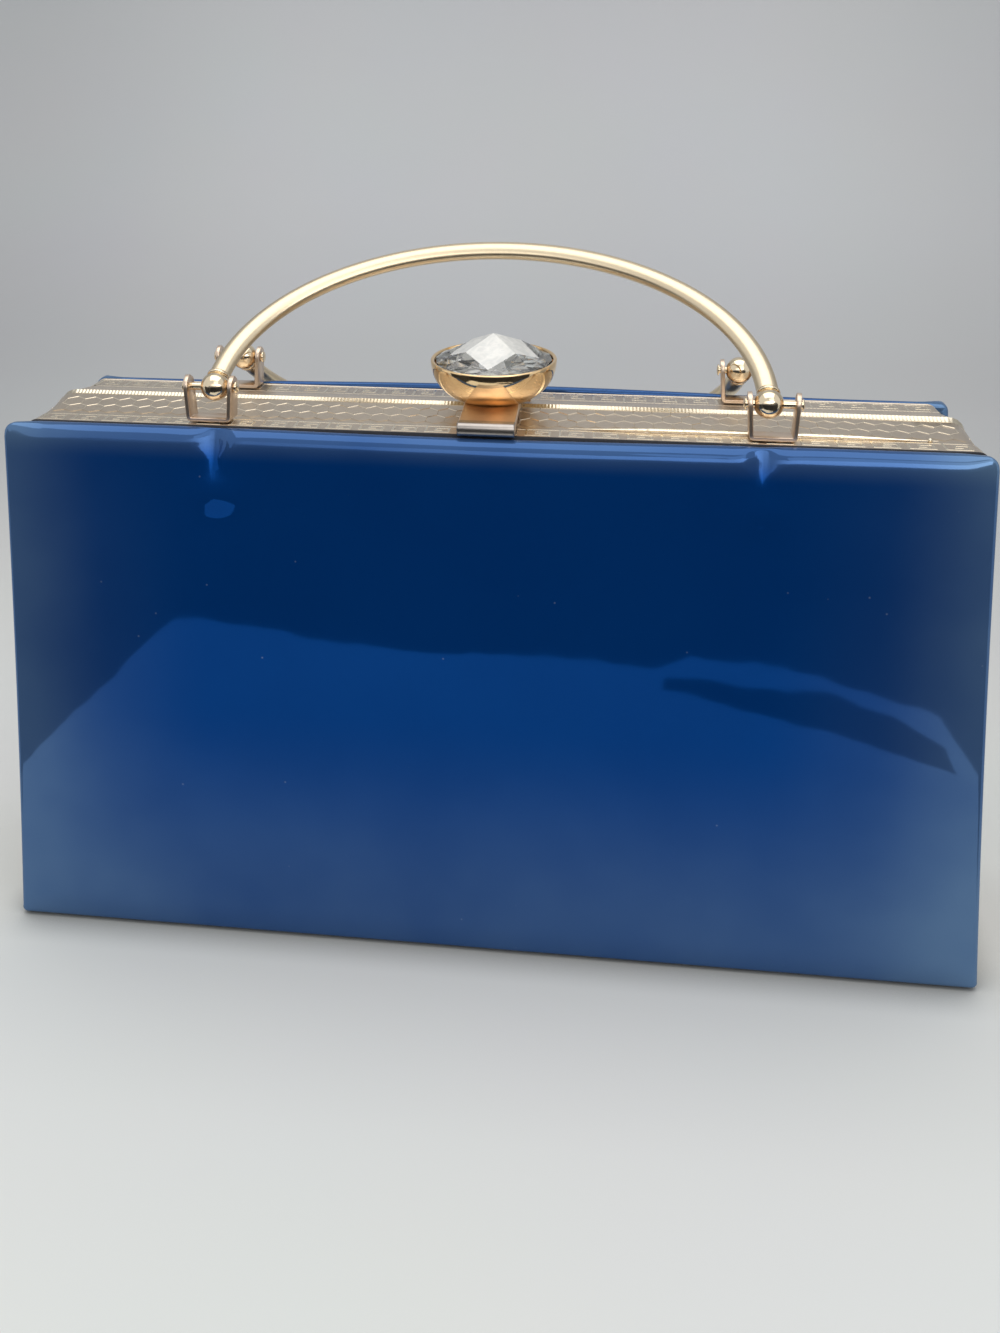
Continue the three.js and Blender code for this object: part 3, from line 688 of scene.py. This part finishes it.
def toothedLip(bm, side, corner, limit):
    pitch = rearLook["toothPitch"]
    count = 4 * int(limit / pitch)
    section, lift = rearLook["toothSection"], rearLook["toothLift"]

    def place(i, j):
        s = (i - count) * pitch / 4
        depth, rise = section[j]
        tooth = rearLook["toothHeight"] * (lift[i % 4] - 0.5) if 0 < j < 3 else 0
        x, z = hoopAt(s, corner, rearRise(s, depth) + rise + tooth)
        return Vector((x, side * depth, z)), (s, depth)

    placeGrid(bm, 2 * count, 3, place, material=1)


def ridgeBead(bm, side, corner):
    start, end = frontLook["ridgeStart"], frontLook["ridgeEnd"]
    steps = int((end - start) / frontLook["ridgeStep"])

    def place(i, j):
        s = start + (end - start) * i / steps
        bumpy = 1 + 0.28 * noise.noise(Vector((s * 1.1, 2, 5)))
        bumpy += 0.2 * noise.noise(Vector((s * 3.1, 7, 1)))
        radius = frontLook["ridgeRadius"] * bumpy * (0.1 + 0.9 * ridgeShare(s))
        turn = 2 * pi * j / 8
        x, z = hoopAt(s, corner, 0.3 + 0.35 * ridgeShare(s) + radius * sin(turn))
        return Vector((x, side * (frontLook["ridgeDepth"] + 1.1 * radius * cos(turn)), z)), (s, j)

    placeGrid(bm, steps, 8, place, material=1)
    x, z = hoopAt(end - 2, corner, 0.4)
    spot = Matrix.Translation((x, side * (frontLook["ridgeDepth"] - 0.1), z))
    size = frontLook["dropRadius"]
    drop = bmesh.ops.create_uvsphere(bm, u_segments=14, v_segments=8, radius=size, matrix=spot)
    for face in {f for v in drop["verts"] for f in v.link_faces}:
        face.material_index = 1


def skewFrame(bm):
    for v in bm.verts:
        v.co.x -= hoopShape["skew"] * v.co.y


def frameLimit(corner):
    return hoopLength(3, corner) - 1


wall, flange = hoopShape["wall"], hoopShape["flange"]
frameMaterials = [frameMetal, rubbedHighlightMetal, lining]
bm = bmesh.new()
honeycomb(bm, -1, frontRise, wall, frameLimit(wall) - 4)
frameSkin(bm, -1, frontSection)
greekKey(bm, -1, frontLook, frontRise, flange, frameLimit(flange))
ridgeBead(bm, -1, wall)
skewFrame(bm)
finishPiece("frontFrameSkin", bm, frameMaterials, "front_half", ["front_frame"], 35)
bm = bmesh.new()
frameSkin(bm, 1, rearSection)
milledBand(bm, 1, wall, frameLimit(wall))
greekKey(bm, 1, rearLook, rearRise, flange, frameLimit(flange))
toothedLip(bm, 1, wall, hoopParts(wall)[0] + 4)
skewFrame(bm)
finishPiece("rearFrameSkin", bm, frameMaterials, "rear_half", ["rear_frame"], 35)
print("frames made")

# Brackets and pins
bracketLook = {
    "x": 71.45, "depth": 19.8, "width": 5.9, "thickness": 1.1, "footHalf": 5.9, "topHalf": 6.5,
    "pinHeight": 8.8, "bend": 0.8, "stand": 144.1, "pinRadius": 1.0, "headRadius": 1.6, "headHeight": 0.6,
    "shift": {-1: 0, 1: -5},
}


def pinSpot(side, direction=0):
    look = bracketLook
    x = look["shift"][side] + direction * look["x"]
    return Vector((x, side * look["depth"], look["stand"] + look["pinHeight"]))


def makeBracket(name, direction, side, body):
    look = bracketLook
    bm = bmesh.new()
    half, top = look["thickness"] / 2, look["pinHeight"] + look["width"] / 2
    foot, head, bend = look["footHalf"] - half, look["topHalf"] - half, look["bend"]
    leg = [(head - (head - foot) * k / 10, top - (top - half - bend) * k / 10) for k in range(11)]
    angles = [pi / 2 * k / 8 for k in range(1, 9)]
    turn = [(foot - bend + bend * cos(a), half + bend - bend * sin(a)) for a in angles]
    right = leg + turn
    line = right + [(-x, z) for x, z in reversed(right)]
    ring = [(-1, -0.7), (-0.94, -1), (0.94, -1), (1, -0.7), (1, 0.7), (0.94, 1), (-0.94, 1), (-1, 0.7)]

    def place(i, j):
        x, z = line[i]
        a = line[max(0, i - 1)]
        b = line[min(len(line) - 1, i + 1)]
        normal = Vector((b[1] - a[1], a[0] - b[0])).normalized()
        over = max(0, z - look["pinHeight"]) / (look["width"] / 2)
        wide = look["width"] / 2 * max(0.12, sqrt(max(0, 1 - over * over)))
        across, out = ring[j % 8]
        y = side * look["depth"] + across * wide
        spot = Vector((x + normal.x * out * half, y, z + normal.y * out * half + look["stand"]))
        return spot + Vector((look["shift"][side] + direction * look["x"], 0, 0)), (i, j)

    placeGrid(bm, len(line) - 1, 8, place)
    bmesh.ops.remove_doubles(bm, verts=bm.verts, dist=1e-4)
    bmesh.ops.holes_fill(bm, edges=[e for e in bm.edges if e.is_boundary], sides=0)
    return finishPiece(name + "Strap", bm, [strapMetal], body, [name], 45)


def makePin(name, direction, side, body):
    look = bracketLook
    bm = bmesh.new()
    half, r = look["topHalf"] + 0.3, look["pinRadius"]
    head, tall = look["headRadius"], look["headHeight"]
    dome = [(1, 0), (1, 0.3), (0.86, 0.66), (0.5, 0.94), (0, 1)]
    end = [(head * a, half + b * tall) for a, b in dome]
    profile = [(a, -b) for a, b in reversed(end)] + [(r, -half), (r, half)] + end
    turned = Matrix.Translation(pinSpot(side, direction)) @ Matrix.Rotation(pi / 2, 4, "Y")
    revolve(bm, profile, 20, turned)
    return finishPiece(name + "Rod", bm, [polishedMetal], body, [name], 50)


for half, side in (("front", -1), ("rear", 1)):
    for place, direction in (("left", -1), ("right", 1)):
        makeBracket(f"{half}_bracket_{place}", direction, side, f"{half}_half")
        makePin(f"{half}_pin_{place}", direction, side, f"{half}_half")
print("brackets and pins made")

# Handles
handleLook = {
    "halfSpan": 70.2, "rise": 52.8, "thin": 2.1, "wide": 2.75, "ball": 3.7, "bore": 1.35,
    "endAngle": 0.055,
    # Lean from upright towards the rear, in degrees
    "lie": {"front": 53.6, "rear": 126},
    # Collar as rows of radius and height above the pin
    "collar": [(1.2, 2.9), (2.6, 2.9), (2.85, 3.05), (2.92, 3.4), (2.85, 3.8), (2.7, 3.95), (1.2, 4.0)],
}


def makeHandle(name, side, lie):
    look = handleLook
    bm = bmesh.new()
    steps, around = 120, 20

    def place(i, j):
        angle = look["endAngle"] + (pi - 2 * look["endAngle"]) * i / steps
        middle = Vector((-look["halfSpan"] * cos(angle), 0, look["rise"] * sin(angle)))
        tangent = Vector((look["halfSpan"] * sin(angle), 0, look["rise"] * cos(angle))).normalized()
        outward = Vector((-tangent.z, 0, tangent.x))
        turn = 2 * pi * j / around
        spot = middle + outward * look["wide"] * cos(turn) + Vector((0, look["thin"] * sin(turn), 0))
        return spot, (i, j)

    placeGrid(bm, steps, around, place, material=1)
    start = sqrt(look["ball"] ** 2 - look["bore"] ** 2)
    first, last = atan2(look["bore"], -start), atan2(look["bore"], start)
    arc = [first + (last - first) * k / 20 for k in range(21)]
    ball = [(look["ball"] * sin(a), look["ball"] * cos(a)) for a in arc]
    ball.append(ball[0])
    for s in (-1, 1):
        spot = Matrix.Translation((s * look["halfSpan"], 0, 0))
        revolve(bm, ball, 28, spot @ Matrix.Rotation(pi / 2, 4, "Y"))
        revolve(bm, look["collar"], 28, spot)
    pivot = Matrix.Translation(pinSpot(side))
    bmesh.ops.transform(bm, matrix=pivot @ Matrix.Rotation(-radians(lie), 4, "X"), verts=bm.verts)
    return finishPiece(name + "Tube", bm, [polishedMetal, tubeMetal], name, [name], 50)


makeHandle("front_handle", -1, handleLook["lie"]["front"])
makeHandle("rear_handle", 1, handleLook["lie"]["rear"])
print("handles made")

# Clasp: lever with its cup, and the stone
claspLook = {
    "width": 14.5, "hingeDepth": 9, "hingeZ": 149.4, "knuckle": 1.9, "bore": 1.2, "cupY": -2.6,
    "rimZ": 158.9, "tilt": 5, "edge": 0.8, "tongueDepth": 26.2, "tongueZ": 145.6, "tongueRadius": 1.8,
    "tongueCorner": 1.6, "tongueFrom": -24.4, "skew": 0.045, "bowlRadius": 16.62, "bowlDeep": 12.2,
    "bowlFull": 0.92,
    # Outline of the arm seen from the side, as rows of y and z: heel, curve of the neck, underside
    "heel": [(8.2, 147.9), (7.6, 150.7), (6.5, 150.6), (3.5, 149.2)],
    "neck": [(-7.5, 148.6), (-11, 147.7), (-23.6, 147.2)],
    "under": [
        (-25.2, 144.3), (-21, 144.6), (-16.3, 145.6), (-1.6, 145.6), (-1.4, 147.2), (4.2, 147.3),
        (4.4, 147.8),
    ],
    # Rim and inside of the bowl, as rows of radius and height
    "rim": [(16.62, -0.1), (16.5, 0.1), (16.2, 0.2), (15.8, 0.12), (15.5, -0.3)],
    "inside": [(15.5, -1.5), (13.5, -3.6), (9.2, -6.6), (6, -8.7), (0, -8.9)],
}
inCup = Matrix.Translation((0, claspLook["cupY"], claspLook["rimZ"]))
inCup = inCup @ Matrix.Rotation(radians(claspLook["tilt"]), 4, "X")
neck = [Vector(row) for row in claspLook["neck"]]
arm = list(claspLook["heel"])
for t in (k / 7 for k in range(8)):
    arm.append(tuple((1 - t) ** 2 * neck[0] + 2 * t * (1 - t) * neck[1] + t * t * neck[2]))
foreY, foreZ = claspLook["tongueDepth"] + claspLook["tongueRadius"], claspLook["tongueZ"]
thick, corner = claspLook["tongueRadius"], claspLook["tongueCorner"]
for a in (pi / 2 * (1 + k / 6) for k in range(7)):
    arm.append((corner * (1 + cos(a)) - foreY, foreZ + thick - corner * (1 - sin(a))))
for a in (pi / 2 * (2 + k / 6) for k in range(7)):
    arm.append((corner * (1 + cos(a)) - foreY, foreZ - thick + corner * (1 + sin(a))))
arm += claspLook["under"]
bm = bmesh.new()
outline = bmesh.ops.create_circle(bm, cap_ends=True, segments=len(arm), radius=1)["verts"]
for v, (y, z) in zip(outline, arm):
    v.co = Vector((-claspLook["width"] / 2, y, z))
grown = bmesh.ops.extrude_face_region(bm, geom=list(bm.faces), use_keep_orig=True)["geom"]
moved = [g for g in grown if isinstance(g, bmesh.types.BMVert)]
bmesh.ops.translate(bm, vec=(claspLook["width"], 0, 0), verts=moved)
ends = [e for e in bm.edges if abs(e.verts[0].co.x - e.verts[1].co.x) < 1e-6]
bmesh.ops.bevel(bm, geom=ends, offset=claspLook["edge"], offset_type="OFFSET", affect="EDGES", segments=3,
                profile=0.5, material=-1, clamp_overlap=True)
for v in bm.verts:
    v.co.x -= claspLook["skew"] * min(0, v.co.y - claspLook["cupY"])
r, b, w = claspLook["knuckle"], claspLook["bore"], claspLook["width"] / 2
knuckle = [(b, -w), (r - 0.3, -w), (r, -w + 0.3), (r, w - 0.3), (r - 0.3, w), (b, w), (b, -w)]
hinge = Matrix.Translation((0, claspLook["hingeDepth"], claspLook["hingeZ"]))
revolve(bm, knuckle, 28, hinge @ Matrix.Rotation(pi / 2, 4, "Y"))
# The tongue end takes the darkened metal, which paints in shade; the rest of the arm takes the strap metal
for face in bm.faces:
    face.material_index = 2 if face.calc_center_median().y < claspLook["tongueFrom"] else 1
bowl = []
wide, deep, full = claspLook["bowlRadius"], claspLook["bowlDeep"], claspLook["bowlFull"]
for a in (pi / 2 * (1 - k / 20) for k in range(20)):
    bowl.append((wide * cos(a) ** full, -0.1 - deep * sin(a) ** full))
bowl += claspLook["rim"] + claspLook["inside"]
revolve(bm, bowl, 72, inCup)
claspMaterials = [warmMetal, strapMetal, tongueMetal]
finishPiece("claspLeverCup", bm, claspMaterials, "clasp", ["clasp_lever"], 45)

stoneLook = {
    "tip": 6.9, "slope": 0.54, "kiteSide": 9.2, "kiteFoot": 12.0, "girdle": 15.4, "girdleTop": -0.05,
    "girdleBottom": -0.9, "backRadii": (9.6, 10.2), "backZ": -4.4, "culetRadius": 4.2, "culetZ": -7.6,
    "low": -8,
    # Crown as rows of radius and height, repeated four times round
    "crown": [(13.7, 0.3), (12.7, 1.0), (12.3, 1.65), (12.7, 1.0)],
}


def stoneAt(i, j):
    # Four large kites meet at the tip, and small facets run from them to the girdle
    look = stoneLook
    angle = 2 * pi * i / 16
    away = abs((i + 2) % 4 - 2) * pi / 8
    if j == 0:
        radius, z = 0, look["tip"]
    elif j == 1:
        s, f = look["kiteSide"] / sqrt(2), look["kiteFoot"]
        radius = s * f / (s * cos(away) + (f - s) * sin(away))
        z = look["tip"] - look["slope"] * radius * cos(away)
    elif j == 2:
        radius, z = look["crown"][i % 4]
    elif j in (3, 4):
        radius, z = look["girdle"], look["girdleTop"] if j == 3 else look["girdleBottom"]
    elif j == 5:
        radius, z = look["backRadii"][i % 2], look["backZ"]
    elif j == 6:
        radius, z = look["culetRadius"], look["culetZ"]
    else:
        radius, z = 0, look["low"]
    return Vector((radius * cos(angle), radius * sin(angle), z)), (i, j)


bm = bmesh.new()
placeGrid(bm, 16, 7, stoneAt)
bmesh.ops.remove_doubles(bm, verts=bm.verts, dist=1e-4)
bmesh.ops.triangulate(bm, faces=bm.faces, quad_method="SHORT_EDGE")
# The large kites take the brighter glass, a painted reflection; the facets below the girdle take the foil
for face in bm.faces:
    middle = face.calc_center_median()
    onKite = max(v.co.z for v in face.verts) > stoneLook["tip"] - 0.1
    face.material_index = 1 if middle.z < stoneLook["girdleBottom"] - 0.1 else 2 * onKite
bmesh.ops.transform(bm, matrix=inCup, verts=bm.verts)
finishPiece("crystalStone", bm, [glass, foilMetal, brightGlass], "clasp", ["crystal"], 1)
print("clasp made")

# Plain parts kept from the frame
plainParts = {
    "front_base": frameMetal, "rear_base": frameMetal, "hinge_pin": frameMetal, "clasp_seat": frameMetal,
    "clasp_pin": polishedMetal,
}
for name, material in plainParts.items():
    mesh = frame["nodes"][name].data
    mesh.materials.clear()
    mesh.materials.append(material)

# Floor, backdrop, lights and camera
stageLook = {
    "wallAt": 0.75, "halfWidth": 6, "front": -4, "sweep": 0.35, "high": 1.6, "mottle": 0.05,
    "tint": (0.992, 1.008, 0.985), "coolBy": 0.05, "coolSpan": (0, 0.6),
    "dimMiddle": -0.06, "dimSpan": (0.15, 0.5), "dimTo": 0.84,
    "contactReach": 0.012, "contactSpan": (0.42, 0.98), "contactShade": 0.45,
    # Painted light falloff: grey of the paper by its distance along the floor and up the wall, standing in
    # for how the light falls off
    "paintedFalloff": [
        (-0.3, 0.79), (-0.16, 0.75), (0.0, 0.69), (0.25, 0.58), (0.53, 0.46), (0.65, 0.465), (0.82, 0.53),
        (1.1, 0.56),
    ],
}
falloffTones = stageLook["paintedFalloff"]
backdrop, tree, shader = newMaterial("backdrop")
coords, axes = addAxes(tree)
reach = mathNode(tree, "ADD", (axes, "Y"), (axes, "Z"))
first, last = falloffTones[0][0], falloffTones[-1][0]
falloffRamp = addNode(tree, "ShaderNodeValToRGB")
feed(tree, falloffRamp, 0, mapRange(tree, reach, (first, last), kind="LINEAR"))
falloffRamp.color_ramp.interpolation = "B_SPLINE"
for spot, grey in falloffTones[1:-1]:
    falloffRamp.color_ramp.elements.new((spot - first) / (last - first))
for stop, (spot, grey) in zip(falloffRamp.color_ramp.elements, falloffTones):
    red, green, blue = stageLook["tint"]
    blue += stageLook["coolBy"] * smoothStep(*stageLook["coolSpan"], spot)
    stop.color = (grey * red, grey * green, grey * blue, 1)
paper = addNoise(tree, coords, Scale=6, Detail=4)
mottled = mixColour(tree, stageLook["mottle"], (falloffRamp, "Color"), (paper, "Color"), "MULTIPLY")
# Painted shade: the paper darkens towards the sides
sideways = mathNode(tree, "ABSOLUTE", mathNode(tree, "SUBTRACT", (axes, "X"), stageLook["dimMiddle"]))
dim = mapRange(tree, sideways, stageLook["dimSpan"], (1, stageLook["dimTo"]))
dimmed = mixColour(tree, 1, mottled, dim, "MULTIPLY")
# Painted contact shadow: the paper darkens where ambient occlusion finds the case close by
contact = addNode(tree, "ShaderNodeAmbientOcclusion", samples=8, Distance=stageLook["contactReach"])
shade = mapRange(tree, (contact, "AO"), stageLook["contactSpan"], (stageLook["contactShade"], 1), "LINEAR")
setInputs(shader, Roughness=0.9, Specular_IOR_Level=0.1)
feed(tree, shader, "Base Color", mixColour(tree, 1, dimmed, shade, "MULTIPLY"))
bm = bmesh.new()
bendSteps = [k * pi / 24 for k in range(13)]
wallAt, bend = stageLook["wallAt"], stageLook["sweep"]
profile = [(stageLook["front"], 0)]
profile += [(wallAt - bend * (1 - sin(a)), bend * (1 - cos(a))) for a in bendSteps]
profile.append((wallAt, stageLook["high"]))


def sweepAt(i, j):
    y, z = profile[j]
    return Vector(((2 * i - 1) * stageLook["halfWidth"], y, z)), (i, j)


placeGrid(bm, 1, len(profile) - 1, sweepAt)
bmesh.ops.recalc_face_normals(bm, faces=bm.faces)
mesh = bpy.data.meshes.new("studioSweep")
bm.to_mesh(mesh)
bm.free()
mesh.materials.append(backdrop)
mesh.shade_smooth()
sweep = bpy.data.objects.new("studioSweep", mesh)
scene.collection.objects.link(sweep)

# Dark surround of the white sheet in front, seen only in reflections
cardLook = {
    "high": [0, 0.206, 0.222, 0.300], "wingFrom": -160, "wingShare": 0.55,
    "dark": (0.020, 0.021, 0.024), "light": (0.050, 0.052, 0.058), "pale": (0.50, 0.51, 0.54),
    "fadeSpan": (0.15, 0.215), "glow": 1.3, "glowSpan": (0.200, 0.225), "glowAcross": (-0.17, 0.17),
    "glowShares": (0.35, 2.4), "glowTint": (1, 0.98, 0.95, 1),
    # Outline of the standing card and of the strip lying inside it, as rows of x and y
    "foot": [
        (-175, -60), (-176, -150), (-171, -246), (-92, -231), (48, -227), (60, -240), (100, -223),
        (160, -192), (162, -60),
    ],
    "strip": [
        (51, -216), (115, -203), (140, -188), (154, -165), (152, -142), (118, -170), (64, -197), (51, -203),
    ],
}
darkCard, tree, shader = newMaterial("darkCard")
coords, axes = addAxes(tree)
weave = addNoise(tree, coords, Scale=4, Detail=3)
tint = mixColour(tree, (weave, "Fac"), cardLook["dark"], cardLook["light"])
fade = mapRange(tree, (axes, "Z"), cardLook["fadeSpan"])
setInputs(shader, Roughness=0.9, Emission_Color=cardLook["glowTint"])
feed(tree, shader, "Base Color", mixColour(tree, fade, tint, cardLook["pale"]))
# A glowing strip stands above the dark, brighter towards the right: no lamp, a painted highlight seen only
# in reflections
glow = mapRange(tree, (axes, "Z"), cardLook["glowSpan"])
glowRange = [share * cardLook["glow"] for share in cardLook["glowShares"]]
across = mapRange(tree, (axes, "X"), cardLook["glowAcross"], glowRange, "LINEAR")
feed(tree, shader, "Emission Strength", mathNode(tree, "MULTIPLY", glow, across))
bm = bmesh.new()


def cardAt(i, j):
    x, y = cardLook["foot"][i]
    low = cardLook["wingShare"] if y > cardLook["wingFrom"] else 1
    return Vector((x, y, 1000 * low * cardLook["high"][j])), (i, j)


placeGrid(bm, len(cardLook["foot"]) - 1, len(cardLook["high"]) - 1, cardAt)
strip = bmesh.ops.create_circle(bm, cap_ends=True, segments=len(cardLook["strip"]), radius=1)["verts"]
for v, (x, y) in zip(strip, cardLook["strip"]):
    v.co = Vector((x, y, 0.6))
bmesh.ops.transform(bm, matrix=toRow, verts=bm.verts)
mesh = bpy.data.meshes.new("frontCard")
bm.to_mesh(mesh)
bm.free()
mesh.materials.append(darkCard)
card = bpy.data.objects.new("frontCard", mesh)
scene.collection.objects.link(card)
card.visible_camera = False
card.visible_diffuse = False
card.visible_shadow = False

worldLook = {"colour": (0.96, 0.98, 1.0, 1), "strength": 0.8}
world = bpy.data.worlds.new("studioWorld")
scene.world = world
world.use_nodes = True
setInputs(world.node_tree.nodes["Background"], Color=worldLook["colour"], Strength=worldLook["strength"])

# Name, place, aim, width, height, power and colour of each lamp
lightLook = [
    ("topSoftbox", (0.0, -0.05, 1.5), (0, 0, 0.08), 1.6, 1.3, 9, (1.0, 0.97, 0.93)),
    ("frontFill", (0.5, -1.1, 1.1), (0, 0, 0.1), 0.9, 0.9, 2.5, (1.0, 0.96, 0.90)),
]
for name, spot, aim, wide, tall, power, colour in lightLook:
    data = bpy.data.lights.new(name, "AREA")
    data.shape = "RECTANGLE"
    data.size, data.size_y = wide, tall
    data.energy = power
    data.color = colour
    lamp = bpy.data.objects.new(name, data)
    lamp.location = spot
    lamp.rotation_euler = (Vector(aim) - Vector(spot)).to_track_quat("-Z", "Y").to_euler()
    scene.collection.objects.link(lamp)

cameraLook = {
    "place": (0.042244, -0.352358, 0.226551), "turn": (75.8908, -0.22505, 6.99623),
    "lens": 35.11, "shift": -0.1849,
}
lens = bpy.data.cameras.new("photoCamera")
lens.lens = cameraLook["lens"]
lens.sensor_width = 36
lens.shift_y = cameraLook["shift"]
lens.clip_start = 0.01
camera = bpy.data.objects.new("photoCamera", lens)
camera.location = cameraLook["place"]
camera.rotation_euler = [radians(a) for a in cameraLook["turn"]]
scene.collection.objects.link(camera)
scene.camera = camera
scene.view_settings.view_transform = "Standard"
print("stage, lights and camera set")
